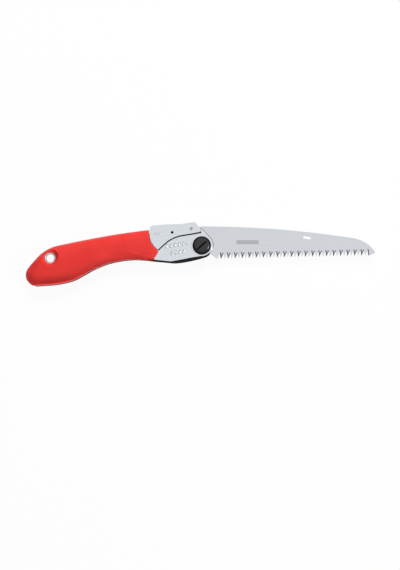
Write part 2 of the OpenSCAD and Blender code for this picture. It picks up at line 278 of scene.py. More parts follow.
def makeBrushing():
    # fine lines left by grinding or brushing: Stretch squeezes the pattern along each axis
    group, start, end = newGroup(
        "grindLines",
        [("Vector", "NodeSocketVector", (0, 0, 0)), ("Stretch", "NodeSocketVector", (0.03, 1, 1)),
         ("Size", "NodeSocketFloat", 0.15)],
        [("Height", "NodeSocketFloat"), ("Tone", "NodeSocketFloat")])
    stretched = group.nodes.new("ShaderNodeVectorMath")
    stretched.operation = "MULTIPLY"
    group.links.new(start.outputs["Vector"], stretched.inputs[0])
    group.links.new(start.outputs["Stretch"], stretched.inputs[1])
    scale = mathNode(group, "DIVIDE", 1 / mm, start.outputs["Size"])
    lines = group.nodes.new("ShaderNodeTexNoise")
    lines.inputs["Detail"].default_value = 4.0
    lines.inputs["Roughness"].default_value = 0.6
    tone = group.nodes.new("ShaderNodeTexNoise")
    tone.inputs["Detail"].default_value = 2.0
    for texture in (lines, tone):
        group.links.new(stretched.outputs["Vector"], texture.inputs["Vector"])
    group.links.new(scale, lines.inputs["Scale"])
    group.links.new(mathNode(group, "MULTIPLY", scale, 0.22), tone.inputs["Scale"])
    group.links.new(lines.outputs["Fac"], end.inputs["Height"])
    group.links.new(tone.outputs["Fac"], end.inputs["Tone"])
    return group


def makeEdgeRub():
    # where hands and pockets rub: the mask is 1 along edges, broken up by a soft noise
    group, start, end = newGroup(
        "edgeRub",
        [("Width", "NodeSocketFloat", 0.4 * mm), ("Amount", "NodeSocketFloat", 1.0)],
        [("Mask", "NodeSocketFloat")])
    bevel = group.nodes.new("ShaderNodeBevel")
    bevel.samples = 4
    group.links.new(start.outputs["Width"], bevel.inputs["Radius"])
    geometry = group.nodes.new("ShaderNodeNewGeometry")
    facing = group.nodes.new("ShaderNodeVectorMath")
    facing.operation = "DOT_PRODUCT"
    group.links.new(bevel.outputs["Normal"], facing.inputs[0])
    group.links.new(geometry.outputs["Normal"], facing.inputs[1])
    edge = rangeNode(group, facing.outputs["Value"], 0.995, 0.88)
    place = group.nodes.new("ShaderNodeTexCoord")
    noise = group.nodes.new("ShaderNodeTexNoise")
    noise.inputs["Scale"].default_value = 220.0
    noise.inputs["Detail"].default_value = 3.0
    group.links.new(place.outputs["Object"], noise.inputs["Vector"])
    broken = rangeNode(group, noise.outputs["Fac"], 0.35, 0.6)
    rubbed = mathNode(group, "MULTIPLY", edge, broken)
    mask = mathNode(group, "MULTIPLY", rubbed, start.outputs["Amount"], clamp=True)
    group.links.new(mask, end.inputs["Mask"])
    return group


def makePlainBar():
    # a plain etched bar with round corners, on the face that points up
    group, start, end = newGroup(
        "plainBar",
        [("Vector", "NodeSocketVector", (0, 0, 0)), ("Half Length", "NodeSocketFloat", 10 * mm),
         ("Half Width", "NodeSocketFloat", 2 * mm), ("Corner", "NodeSocketFloat", 0.5 * mm)],
        [("Mask", "NodeSocketFloat")])
    parts = group.nodes.new("ShaderNodeSeparateXYZ")
    group.links.new(start.outputs["Vector"], parts.inputs[0])
    squares = []
    for axis, half in (("X", "Half Length"), ("Y", "Half Width")):
        straight = mathNode(group, "SUBTRACT", start.outputs[half], start.outputs["Corner"])
        beyond = mathNode(group, "SUBTRACT", mathNode(group, "ABSOLUTE", parts.outputs[axis]), straight)
        squares.append(mathNode(group, "POWER", mathNode(group, "MAXIMUM", beyond, 0.0), 2.0))
    distance = mathNode(group, "SQRT", mathNode(group, "ADD", squares[0], squares[1]))
    within = mathNode(group, "SUBTRACT", start.outputs["Corner"], distance)
    inside = rangeNode(group, within, -0.05 * mm, 0.05 * mm)
    place = group.nodes.new("ShaderNodeTexCoord")
    normal = group.nodes.new("ShaderNodeSeparateXYZ")
    group.links.new(place.outputs["Normal"], normal.inputs[0])
    up = mathNode(group, "GREATER_THAN", normal.outputs["Z"], 0.5)
    group.links.new(mathNode(group, "MULTIPLY", inside, up), end.inputs["Mask"])
    return group


fineGrain = makeGrain()
grindLines = makeBrushing()
edgeRub = makeEdgeRub()
plainBar = makePlainBar()
print("effects ready")


def newFinish(name, **shaderValues):
    finish = bpy.data.materials.new(name)
    finish.use_nodes = True
    tree = finish.node_tree
    shader = tree.nodes["Principled BSDF"]
    for socketName, value in shaderValues.items():
        shader.inputs[socketName.replace("_", " ")].default_value = value
    return finish, tree, shader


def placeGroup(tree, group, **values):
    node = tree.nodes.new("ShaderNodeGroup")
    node.node_tree = group
    for socketName, value in values.items():
        node.inputs[socketName.replace("_", " ")].default_value = value
    return node


def mixColours(tree, mask, first, second):
    node = tree.nodes.new("ShaderNodeMix")
    node.data_type = "RGBA"
    sockets = [s for s in node.inputs if s.enabled]
    for socket, value in zip(sockets, (mask, first, second)):
        if isinstance(value, bpy.types.NodeSocket):
            tree.links.new(value, socket)
        else:
            socket.default_value = value
    return [s for s in node.outputs if s.enabled][0]


def addBump(tree, shader, height, distance, strength=1.0):
    bump = tree.nodes.new("ShaderNodeBump")
    bump.inputs["Distance"].default_value = distance
    bump.inputs["Strength"].default_value = strength
    tree.links.new(height, bump.inputs["Height"])
    tree.links.new(bump.outputs["Normal"], shader.inputs["Normal"])


def grainyFinish(name, colour, worn, roughness, grainSize, grainDepth, specular, deep=None,
                 rubWidth=0.35 * mm, rubAmount=0.6):
    # moulded or coated, with a fine grain and a worn tone along edges; deep is the tone of its darker patches
    finish, tree, shader = newFinish(name, Specular_IOR_Level=specular)
    grain = placeGroup(tree, fineGrain, Size=grainSize, Roughen=0.6)
    rub = placeGroup(tree, edgeRub, Width=rubWidth, Amount=rubAmount)
    if deep:
        patches = rangeNode(tree, grain.outputs["Patches"], 0.35, 0.68)
        colour = mixColours(tree, patches, colour, deep)
    tree.links.new(mixColours(tree, rub.outputs["Mask"], colour, worn), shader.inputs["Base Color"])
    tree.links.new(rangeNode(tree, grain.outputs["Height"], 0.3, 0.7, roughness - 0.06, roughness + 0.06),
                   shader.inputs["Roughness"])
    addBump(tree, shader, grain.outputs["Height"], grainDepth)
    return finish


def satinSteel(name, colour, shade, roughness, stretch, lineSize, lineDepth):
    # plated, ground or turned steel with lines along one axis
    finish, tree, shader = newFinish(name, Metallic=1.0)
    place = tree.nodes.new("ShaderNodeTexCoord")
    lines = placeGroup(tree, grindLines, Stretch=stretch, Size=lineSize)
    tree.links.new(place.outputs["Object"], lines.inputs["Vector"])
    grain = placeGroup(tree, fineGrain, Size=0.5, Roughen=0.5)
    tone = mathNode(tree, "MULTIPLY", rangeNode(tree, lines.outputs["Tone"], 0.3, 0.7),
                    rangeNode(tree, grain.outputs["Patches"], 0.3, 0.7, 0.6, 1.0))
    tree.links.new(mixColours(tree, tone, colour, shade), shader.inputs["Base Color"])
    tree.links.new(rangeNode(tree, lines.outputs["Height"], 0.3, 0.7, roughness - 0.05, roughness + 0.05),
                   shader.inputs["Roughness"])
    addBump(tree, shader, lines.outputs["Height"], lineDepth)
    return finish


def bladeSteel():
    bar = {"middle": fromPivot(49.2, 3.6), "halfLength": 12.0 * mm, "halfWidth": 2.1 * mm, "corner": 0.8 * mm,
           "grey": (0.44, 0.46, 0.48, 1)}
    finish = satinSteel("bladeSteel", (0.66, 0.685, 0.725, 1), (0.625, 0.65, 0.69, 1), roughness=0.2,
                        stretch=(0.02, 1, 1), lineSize=0.2, lineDepth=0.004 * mm)
    tree = finish.node_tree
    colour = tree.nodes["Principled BSDF"].inputs["Base Color"]
    place = tree.nodes.new("ShaderNodeTexCoord")
    centred = tree.nodes.new("ShaderNodeMapping")
    centred.inputs["Location"].default_value = -bar["middle"]
    tree.links.new(place.outputs["Object"], centred.inputs["Vector"])
    mask = placeGroup(tree, plainBar, Half_Length=bar["halfLength"], Half_Width=bar["halfWidth"],
                      Corner=bar["corner"])
    tree.links.new(centred.outputs["Vector"], mask.inputs["Vector"])
    plain = colour.links[0].from_socket
    tree.links.new(mixColours(tree, mask.outputs["Mask"], plain, bar["grey"]), colour)
    return finish


rubber = {"worn": (0.88, 0.06, 0.05, 1), "grainSize": 0.34, "grainDepth": 0.05 * mm, "rubWidth": 0.9 * mm,
          "rubAmount": 0.5}
finishes = {
    "grip": grainyFinish("gripRed", (0.82, 0.039, 0.033, 1), deep=(0.78, 0.033, 0.028, 1), specular=0.5,
                         roughness=0.5, **rubber),
    # the rim's paler pink colour is a painted highlight, standing in for the sheen along the bead
    "rim": grainyFinish("gripRimPaintedHighlight", (0.78, 0.17, 0.16, 1), deep=(0.74, 0.15, 0.14, 1), specular=0.5,
                        roughness=0.45, **rubber),
    # the eyelet's pink tint is a painted reflection of the red rubber round it
    "eyelet": satinSteel("eyeletSteelPaintedReflection", (0.82, 0.72, 0.73, 1), (0.78, 0.68, 0.69, 1), roughness=0.55,
                         stretch=(1, 1, 0.2), lineSize=0.3, lineDepth=0.001 * mm),
    "plated": satinSteel("platedSteel", (0.7, 0.735, 0.775, 1), (0.665, 0.7, 0.74, 1), roughness=0.2,
                         stretch=(0.25, 1, 1), lineSize=0.35, lineDepth=0.004 * mm),
    "bright": satinSteel("brightRing", (0.74, 0.77, 0.8, 1), (0.7, 0.73, 0.76, 1), roughness=0.2,
                         stretch=(1, 1, 0.2), lineSize=0.2, lineDepth=0.001 * mm),
    "blade": bladeSteel(),
    # ground steel whose dark colour is painted shade, for the dark reflections on tilted bevels and rib flanks
    "paintedShadeSteel": satinSteel("paintedShadeSteel", (0.3, 0.32, 0.35, 1), (0.22, 0.23, 0.26, 1), roughness=0.3,
                             stretch=(1, 0.05, 1), lineSize=0.12, lineDepth=0.003 * mm),
    "nylon": grainyFinish("blackNylon", (0.006, 0.006, 0.007, 1), (0.02, 0.02, 0.021, 1), roughness=0.5,
                          grainSize=0.3, grainDepth=0.03 * mm, specular=0.2),
    "bolt": grainyFinish("blackSteel", (0.016, 0.016, 0.018, 1), (0.03, 0.03, 0.033, 1), roughness=0.24,
                         grainSize=0.5, grainDepth=0.004 * mm, specular=0.45),
    # a darker matt black that is painted shade, for the bolt's rim and slot and the roll pin's bore
    "paintedShadeBlack": grainyFinish("mattPaintedShadeBlack", (0.004, 0.004, 0.005, 1), (0.01, 0.01, 0.011, 1), roughness=0.6,
                            grainSize=0.5, grainDepth=0.01 * mm, specular=0.12),
    "bare": satinSteel("bareSteel", (0.44, 0.46, 0.48, 1), (0.36, 0.38, 0.4, 1), roughness=0.3,
                       stretch=(1, 1, 0.05), lineSize=0.12, lineDepth=0.003 * mm),
    "spring": satinSteel("springSteel", (0.42, 0.43, 0.45, 1), (0.35, 0.36, 0.38, 1), roughness=0.3,
                         stretch=(1, 1, 0.1), lineSize=0.1, lineDepth=0.002 * mm),
    "pale": grainyFinish("paleNylon", (0.76, 0.73, 0.65, 1), (0.8, 0.78, 0.72, 1), roughness=0.5,
                         grainSize=0.3, grainDepth=0.02 * mm, specular=0.4),
}
print("finishes ready")


def placeAlong(line, x):
    # the height of a line of points at x, straight between the points
    for before, after in zip(line, line[1:]):
        if before[0] <= x <= after[0]:
            return before[1] + (after[1] - before[1]) * (x - before[0]) / (after[0] - before[0])
    return line[0][1] if x < line[0][0] else line[-1][1]


def ramp(value, low, high):
    share = min(max((value - low) / (high - low), 0), 1)
    return share * share * (3 - 2 * share)


def bellyEdge():
    # the lining's lower edge under the grip, from the tail to the front, in millimetres about the pivot
    belly = {"from": -178.5, "to": -50, "chordX": -176, "chordY": -30, "chordSlope": 25 / 122}
    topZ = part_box("liner_right")[1].z
    found = set()
    for vertex in nodes["liner_right"].data.vertices:
        place = (vertex.co - pivotAt) / mm
        if abs(vertex.co.z - topZ) < 0.01 * mm and belly["from"] < place.x < belly["to"]:
            # the lining's other points lie above the edge's chord
            if place.y < belly["chordY"] + (place.x - belly["chordX"]) * belly["chordSlope"]:
                found.add((round(place.x, 2), round(place.y, 2)))
    return sorted(found)


def distanceTo(line, place):
    # the shortest way from a place to a line of points
    nearest = 1000.0
    for before, after in zip(line, line[1:]):
        run = after - before
        share = min(max((place - before).dot(run) / run.length_squared, 0), 1)
        nearest = min(nearest, (place - before - run * share).length)
    return nearest


# Below, places are in millimetres about the pivot, and a height is measured from the middle of the blade.
# A pair of numbers is the stretch over which an effect goes from nothing to full.
rubberLip = 1.3  # how far the grip's lower edge lies above the lining's


def flankHeight(place, height, edge):
    # the flank falls from the crease to the belly, a little more steeply at its foot
    crease = [(-108, -1), (-98, -0.6), (-92, -1), (-86, -3.2), (-80, -5.4), (-75, -7.6), (-70, -9),
              (-65, -10.1), (-60, -11.2), (-50, -13.4)]
    creaseHeight = [(-108, 10.95), (-100, 10.8), (-96, 10.7), (-92, 10.55), (-88, 10.3), (-84, 10.1),
                    (-80, 9.95), (-76, 9.75), (-72, 9.5), (-68, 9.3), (-64, 9.1), (-60, 8.95), (-50, 8.75)]
    flank = {"foot": 7.3, "footAbove": (0, 0.7), "begins": (-108, -86), "power": 2.05, "frontLess": 0.8,
             "steeper": (-90, -74), "capped": (-74, -66), "ridgeFrom": (-92, -86), "ridgeFades": (2, 6)}
    top, bottom = placeAlong(crease, place.x), placeAlong(edge, place.x) + rubberLip
    down = (top - place.y) / (top - bottom)
    ridge = placeAlong(creaseHeight, place.x)
    power = flank["power"] - flank["frontLess"] * ramp(place.x, *flank["steeper"])
    fallen = ridge - (ridge - flank["foot"]) * min(max(down, 0), 1) ** power
    if down > 0:
        height -= max(height - fallen, 0) * ramp(place.x, *flank["capped"])
    if 0 < down < 1:
        share, foot = ramp(place.x, *flank["begins"]), ramp(place.y - bottom, *flank["footAbove"])
        height += (fallen - height) * share * foot
    elif down <= 0:
        above = ramp(place.x, *flank["ridgeFrom"]) * (1 - ramp(place.y - top, *flank["ridgeFades"]))
        height += max(ridge - height, 0) * above
    return height


def tailHeight(place, height, tailEdge):
    # the tail's lower edge is round, and further forward it still covers the plates
    tail = {"rounded": (-118, -146), "roundWidth": 12.0, "power": 3.2, "edgeHeight": 5.3, "plateCover": 7.05,
            "covers": (-146, -134), "coverFrom": 0.7}
    inside = distanceTo(tailEdge, place.xy)
    fall = max(1 - inside / tail["roundWidth"], 0) ** tail["power"]
    height -= (height - tail["edgeHeight"]) * fall * ramp(place.x, *tail["rounded"])
    if inside > tail["coverFrom"]:
        cover = (tail["plateCover"] - tail["edgeHeight"]) * ramp(place.x, *tail["covers"])
        height = max(height, tail["edgeHeight"] + cover)
    return height


def widenRecess(vertex, place, height):
    # the recess round the eyelet is wider above it
    recess = {"inner": 7.2, "reach": 1.5, "fades": (8.0, 13.0), "toward": Vector((0.5, 0.87)),
              "aboveFloor": (7.15, 7.7)}
    out = place.xy - Vector(((eyeletAt - pivotAt) / mm).xy)
    if recess["inner"] < out.length < recess["fades"][1]:
        fade = ramp(height, *recess["aboveFloor"]) * (1 - ramp(out.length, *recess["fades"]))
        shift = out.normalized() * recess["reach"] * fade * max(out.normalized().dot(recess["toward"]), 0)
        vertex.co.x += shift.x * mm
        vertex.co.y += shift.y * mm


def shapeGrip(piece, edge):
    # both sides are shaped alike, and what lies nearer the middle isn't seen
    grip = {"lowest": 5.8, "flankFrom": -108, "flankTo": -48, "tailTo": -118, "tailBelow": -12}
    tailEdge = [Vector(place) for place in ((-183, -21.5), (-187, -26.5), (-188.6, -31), (-187, -35.5),
                                            (-183.5, -40.3), (-178, -42.7))]
    tailEdge += [Vector((x, y + rubberLip)) for x, y in edge if -177 < x < -110]
    for vertex in piece.data.vertices:
        place = (vertex.co - pivotAt) / mm
        side, height = (1 if place.z > 0 else -1), abs(place.z)
        if height < grip["lowest"]:
            continue
        if grip["flankFrom"] < place.x < grip["flankTo"]:
            height = flankHeight(place, height, edge)
        if place.x < grip["tailTo"] and place.y < grip["tailBelow"]:
            height = tailHeight(place, height, tailEdge)
        vertex.co.z = middleZ + side * height * mm
        widenRecess(vertex, place, height)


def makeRim(edge, side):
    rim = {"radius": 0.65, "inset": 1.15, "centreHeight": 6.3, "from": -178, "to": -54.2}
    line = [Vector(place) for place in edge if rim["from"] < place[0] < rim["to"] - 1]
    line.append(Vector((rim["to"], placeAlong(edge, rim["to"]))))
    curve = bpy.data.curves.new("bellyRim", "CURVE")
    curve.dimensions = "3D"
    spline = curve.splines.new("BEZIER")
    spline.bezier_points.add(len(line) - 1)
    for i, point in enumerate(spline.bezier_points):
        run = line[min(i + 1, len(line) - 1)] - line[max(i - 1, 0)]
        inward = Vector((-run.y, run.x)).normalized() * rim["inset"]
        point.co = fromPivot(line[i].x + inward.x, line[i].y + inward.y, side * rim["centreHeight"])
        point.handle_left_type = point.handle_right_type = "AUTO"
    spline.resolution_u = 4
    curve.bevel_depth = rim["radius"] * mm
    curve.bevel_resolution = 3
    curve.use_fill_caps = True
    piece = bpy.data.objects.new("bellyRim", curve)
    bpy.context.scene.collection.objects.link(piece)
    selectOnly(piece)
    bpy.ops.object.convert(target="MESH")
    piece = bpy.context.active_object
    # the bead's paler pink finish is a painted highlight
    piece.data.materials.append(finishes["rim"])
    return piece


def thickenFront(piece):
    # the thin front of the rubber, below, is made thick enough to keep its shape
    thick = {"more": 0.5 * mm, "lowest": 5.6, "forward": (-70, -62), "down": (-4, -9)}
    for vertex in piece.data.vertices:
        place = (vertex.co - pivotAt) / mm
        if abs(place.z) > thick["lowest"]:
            share = ramp(place.x, *thick["forward"]) * ramp(place.y, *thick["down"])
            vertex.co.z += math.copysign(thick["more"] * share, place.z)


def addWeights(piece):
    # where the rubber is smoothed, and its front edge, which reaches forward over the plates
    weights = {"thin": 0.06, "forward": (-66, -58), "down": (-8, -12), "recess": 0.3,
               "fromEyelet": (10, 12.5), "edgeFrom": -59, "edgeFacing": 0.3, "edgeGain": 1.3}
    softness = piece.vertex_groups.new(name="softness")
    front = piece.vertex_groups.new(name="front")
    for vertex in piece.data.vertices:
        place = (vertex.co - pivotAt) / mm
        nearFront = ramp(place.x, *weights["forward"]) * ramp(place.y, *weights["down"])
        nearRecess = 1 - ramp((vertex.co - eyeletAt).xy.length / mm, *weights["fromEyelet"])
        weight = 1 - (1 - weights["thin"]) * nearFront - (1 - weights["recess"]) * nearRecess
        softness.add([vertex.index], weight, "REPLACE")
        if place.x > weights["edgeFrom"] and vertex.normal.x > weights["edgeFacing"]:
            front.add([vertex.index], min(1, vertex.normal.x * weights["edgeGain"]), "REPLACE")


def reachDown(piece, edge):
    # the lower edge at the front covers the plate down to the rim
    lower = {"reach": 1.3 * mm, "forward": (-68, -60), "fades": (2.2, 6), "outward": (5.0, 6.6)}
    for vertex in piece.data.vertices:
        place = (vertex.co - pivotAt) / mm
        if place.x > lower["forward"][0] and place.y < 0:
            nearEdge = 1 - ramp(place.y - placeAlong(edge, place.x), *lower["fades"])
            share = ramp(place.x, *lower["forward"]) * nearEdge * ramp(abs(place.z), *lower["outward"])
            vertex.co.y -= lower["reach"] * share


def makeGrip():
    grip = {"voxel": 0.4 * mm, "softening": 22, "swell": 0.2 * mm, "frontReach": 0.45 * mm, "keptFaces": 0.45}
    edge = bellyEdge()
    piece = copyOfNode("grip_rubber", "gripSkin", flatAngle=0.1)
    thickenFront(piece)
    applyModifier(piece, "REMESH", mode="VOXEL", voxel_size=grip["voxel"])
    shapeGrip(piece, edge)
    addWeights(piece)
    applyModifier(piece, "SMOOTH", factor=0.5, iterations=grip["softening"], vertex_group="softness")
    applyModifier(piece, "DISPLACE", strength=grip["swell"], mid_level=0)
    applyModifier(piece, "DISPLACE", strength=grip["frontReach"], mid_level=0, vertex_group="front")
    piece.vertex_groups.clear()
    reachDown(piece, edge)
    applyModifier(piece, "DECIMATE", ratio=grip["keptFaces"])
    finishPiece(piece, "handle", "rubber_red", finishes["grip"], "grip_rubber")
    joinInto(piece, [makeRim(edge, side) for side in (1, -1)])
    bpy.ops.object.shade_smooth()
    print("grip", len(piece.data.polygons), "faces")


def makeSidePlate(side):
    plate = {"edge": 0.3 * mm, "noseEdge": 0.4 * mm, "ringRadius": 11.2 * mm, "trimFrom": -80, "trimTo": -37,
             "trimWithin": (11 * mm, 13 * mm), "tailClear": 4 * mm, "tailTo": (-130, -148), "tailBelow": -30,
             "noseBeyond": 11.8 * mm, "noseFrom": -0.5 * mm, "noseAbove": -9 * mm}
    nodeName = "side_plate_" + side
    piece = copyOfNode(nodeName, "frontPlate" + side.capitalize())
    low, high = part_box(nodeName)
    outerZ = high.z if side == "right" else low.z
    nearest, farthest = plate["trimWithin"]

    # inside the rubber the plate clears the tail's round edge, and below the bolt it ends under the ring
    for vertex in piece.data.vertices:
        place = (vertex.co - pivotAt) / mm
        if place.x < plate["tailTo"][0] and place.y < plate["tailBelow"]:
            vertex.co.y += plate["tailClear"] * ramp(place.x, *plate["tailTo"])
        reach = vertex.co - pivotAt
        radius, turn = math.hypot(reach.x, reach.y), math.degrees(math.atan2(reach.y, reach.x))
        if plate["trimFrom"] < turn < plate["trimTo"] and nearest < radius < farthest:
            vertex.co.x = pivotAt.x + reach.x * plate["ringRadius"] / radius
            vertex.co.y = pivotAt.y + reach.y * plate["ringRadius"] / radius

    def onNose(a, b):
        onFace = abs(a.z - outerZ) < 0.01 * mm and abs(b.z - outerZ) < 0.01 * mm
        middle = (a + b) / 2 - pivotAt
        beyond = math.hypot(middle.x, middle.y) > plate["noseBeyond"]
        return onFace and beyond and middle.x > plate["noseFrom"] and middle.y > plate["noseAbove"]

    bevelEdges(piece, onNose, plate["noseEdge"], segments=2, clamp=True)
    roundEdges(piece, plate["edge"])
    smoothShade(piece)
    finishPiece(piece, "handle", "plated_steel", finishes["plated"], nodeName)


def makeRibs(name, body, face, rib, rows):
    # short embossed ribs on the right (face 1) or left (face -1) side, in rows from one middle to another
    height = rib["height"]
    outerZ = middleZ + face * (plateFace + height) * mm
    ribs = []
    for count, start, end in rows:
        for i in range(count):
            x, y = (a + (b - a) * i / (count - 1) for a, b in zip(start, end))
            piece = addBlock(fromPivot(x, y, face * plateFace),
                             (rib["width"] * mm, rib["length"] * mm, 2 * height * mm), rib["lean"])
            # its ends are round, then its top
            bevelEdges(piece, lambda a, b: abs(a.z - b.z) > height * mm, 0.49 * rib["width"] * mm, segments=6)
            bevelEdges(piece, lambda a, b: abs(a.z - outerZ) < 0.01 * mm and abs(b.z - outerZ) < 0.01 * mm,
                       rib["round"] * mm, segments=4)
            ribs.append(piece)
    joinInto(ribs[0], ribs[1:])
    piece = ribs[0]
    piece.name = name
    smoothShade(piece, 50)
    finishPiece(piece, body, "plated_steel", finishes["plated"])
    # the ribs' sloping flanks get the dark steel, a painted shade that outlines each rib
    giveFaces(piece, finishes["paintedShadeSteel"], lambda face: abs(face.normal.z) < 0.95)


def makeAllRibs(side):
    face = 1 if side == "right" else -1
    makeRibs("plateRibs" + side.capitalize(), "handle", face,
             {"width": 2.0, "length": 4.4, "height": 0.6, "round": 0.55, "lean": -18},
             [(6, (-37.6, -0.8), (-15.6, 2.6)), (4, (-32.2, -8.2), (-19.4, -6.2))])
    makeRibs("leverRibs" + side.capitalize(), "lever", face,
             {"width": 0.9, "length": 2.4, "height": 0.25, "round": 0.22, "lean": -12},
             [(5, (-50.6, 12.2), (-43.2, 13.2))])


def makeLever():
    # the sheet is folded along the lever's top and down its rear
    lever = {"edge": 0.3 * mm, "fold": 0.6 * mm, "topFrom": 21 * mm, "topTo": -7 * mm, "rearTo": -52 * mm,
             "rearFrom": 17.5 * mm}
    piece = copyOfNode("lock_lever", "thumbLever")
    low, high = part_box("lock_lever")

    def onFold(a, b):
        onFace = abs(a.z - b.z) < 0.01 * mm and min(abs(a.z - low.z), abs(a.z - high.z)) < 0.01 * mm
        middle = (a + b) / 2 - pivotAt
        onTop = middle.y > lever["topFrom"] and middle.x < lever["topTo"]
        onRear = middle.x < lever["rearTo"] and middle.y > lever["rearFrom"]
        return onFace and (onTop or onRear)

    bevelEdges(piece, onFold, lever["fold"], segments=5, clamp=True)
    roundEdges(piece, lever["edge"])
    smoothShade(piece)
    finishPiece(piece, "lever", "plated_steel", finishes["plated"], "lock_lever")


def makeLiner(side):
    lip = {"left": -1.3, "bottom": -1, "reach": 1.028, "inset": 1.6 * mm, "edge": 0.3 * mm}
    nodeName = "liner_" + side
    piece = copyOfNode(nodeName, "slotLining" + side.capitalize())

    # a thin lip that shows round the nose of the plate, cut from the plate's own outline
    nose = copyOfNode("side_plate_" + side, "noseLip")
    editMode(nose)
    leftCut, bottomCut = fromPivot(lip["left"], 0), fromPivot(0, lip["bottom"])
    for cut, direction in ((leftCut, (-1, 0, 0)), (bottomCut, (0, -1, 0))):
        bpy.ops.mesh.select_all(action="SELECT")
        bpy.ops.mesh.bisect(plane_co=cut, plane_no=direction, use_fill=True, clear_outer=True)
    bpy.ops.mesh.select_all(action="SELECT")
    bpy.ops.transform.resize(value=(lip["reach"], lip["reach"], 1), center_override=pivotAt)
    bpy.ops.transform.translate(value=(0, 0, -lip["inset"] if side == "right" else lip["inset"]))
    objectMode()
    joinInto(piece, [nose])
    roundEdges(piece, lip["edge"])
    smoothShade(piece)
    finishPiece(piece, "handle", "black_nylon", finishes["nylon"], nodeName)


def makeBolt():
    bolt = {"seat": 7.1, "radius": 9.95, "faceRadius": 8.5, "top": 11.0, "domeRadius": 40.0, "domeFrom": 1.5,
            "domeEdge": 9.6, "shank": 3.95, "shankEnd": -6.4, "thread": 3.0, "end": -9.9, "edge": 0.12 * mm,
            "slotLength": 13.6 * mm, "slotWidth": 1.9 * mm, "slotDepth": 1.5, "slotTurn": 42}
    dome = bolt["domeRadius"]
    head = [(0.0, bolt["top"])]
    head += quarter((0, bolt["top"] - dome), dome, 90 - bolt["domeFrom"], 90 - bolt["domeEdge"], 6)
    shoulder = [(7.0, 10.34), (7.4, 10.18), (8.0, 9.9), (8.3, 9.7), (bolt["faceRadius"], 9.3)]
    rim = [(bolt["faceRadius"] + 0.05, 8.9), (9.2, 8.78), (9.6, 8.6), (9.85, 8.25), (bolt["radius"], 7.9),
           (bolt["radius"], bolt["seat"] + 0.25), (bolt["radius"] - 0.25, bolt["seat"])]
    shank = [(bolt["shank"], bolt["seat"]), (bolt["shank"], bolt["shankEnd"]),
             (bolt["thread"], bolt["shankEnd"]), (bolt["thread"], bolt["end"]), (0.0, bolt["end"])]
    piece = spunPiece("boltHead", pivotAt, head + shoulder + rim + shank)
    slotSize = (bolt["slotLength"], bolt["slotWidth"], (bolt["slotDepth"] + 1) * 2 * mm)
    cutter = addBlock(fromPivot(0, 0, bolt["top"] + 1), slotSize, bolt["slotTurn"])
    floorZ = fromPivot(0, 0, bolt["top"] - bolt["slotDepth"]).z

    def alongFloor(a, b):
        # the two long edges of the slot's floor
        level = abs(a.z - floorZ) < 0.01 * mm and abs(b.z - floorZ) < 0.01 * mm
        return level and (a - b).length > 5 * mm

    bevelEdges(cutter, alongFloor, 0.48 * bolt["slotWidth"], segments=6)
    cutAway(piece, cutter)
    roundEdges(piece, bolt["edge"], segments=2, angle=50)
    smoothShade(piece)
    finishPiece(piece, "handle", "black_steel", finishes["bolt"], "pivot_bolt")

    def getsPaintedShade(face):
        # the rim round the face, and the slot, which get a matt black that is painted shade
        place = (face.center - pivotAt) / mm
        reach = place.xy.length
        crown = bolt["top"] - dome + math.sqrt(dome * dome - reach * reach)
        inSlot = reach < bolt["slotLength"] / 2 / mm and 5 < place.z < crown - 0.15
        return reach > bolt["faceRadius"] or inSlot

    giveFaces(piece, finishes["paintedShadeBlack"], getsPaintedShade)


def makeBoltRing():
    ring = {"bore": 4.0, "outer": 11.3, "seat": 6.5, "top": 7.1, "round": 0.28}
    profile = [(ring["bore"], ring["seat"]), (ring["outer"], ring["seat"])]
    profile += quarter((ring["outer"] - ring["round"], ring["top"] - ring["round"]), ring["round"], 10, 90, 5)
    profile += [(ring["bore"], ring["top"]), (ring["bore"], ring["seat"])]
    piece = spunPiece("brightRing", pivotAt, profile)
    smoothShade(piece)
    finishPiece(piece, "handle", "plated_steel", finishes["bright"], "bolt_ring")


def makeEyelet():
    eyelet = {"bore": 4.3, "sleeve": 5.1, "seat": 6.5, "roll": 0.98}
    half = [(eyelet["sleeve"], eyelet["seat"])]
    half += quarter((eyelet["bore"] + eyelet["roll"], eyelet["seat"] - 0.1), eyelet["roll"], 8, 180, 14)
    below = [(radius, -height) for radius, height in reversed(half)]
    piece = spunPiece("lanyardEyelet", eyeletAt, half + below + [half[0]])
    smoothShade(piece)
    # its pink tint is a painted reflection of the rubber
    finishPiece(piece, "handle", "plated_steel", finishes["eyelet"], "lanyard_eyelet")


def makeRollPin():
    # hollow at both ends, with a split along its top
    pin = {"radius": 1.5, "bore": 1.3, "boreRound": 0.05, "end": 6.4, "depth": 3.6, "round": 0.15,
           "split": 0.4 * mm, "splitLength": 20 * mm}
    half = [(0.0, pin["end"] - pin["depth"]), (pin["bore"], pin["end"] - pin["depth"]),
            (pin["bore"], pin["end"] - pin["boreRound"]), (pin["bore"] + pin["boreRound"], pin["end"])]
    half += quarter((pin["radius"] - pin["round"], pin["end"] - pin["round"]), pin["round"], 90, 0, 3)
    piece = spunPiece("rollPin", Vector((leverPinAt.x, leverPinAt.y, middleZ)),
                      half + [(radius, -height) for radius, height in reversed(half)], steps=48)
    cutAway(piece, addBlock((leverPinAt.x, leverPinAt.y + pin["radius"] * mm, middleZ),
                            (pin["split"], pin["radius"] * mm, pin["splitLength"])))
    smoothShade(piece)
    finishPiece(piece, "handle", "spring_steel", finishes["spring"], "lever_pin")
    # the bore gets the matt black that is painted shade
    giveFaces(piece, finishes["paintedShadeBlack"],
              lambda face: (face.center - leverPinAt).xy.length < (pin["bore"] + 0.01) * mm)


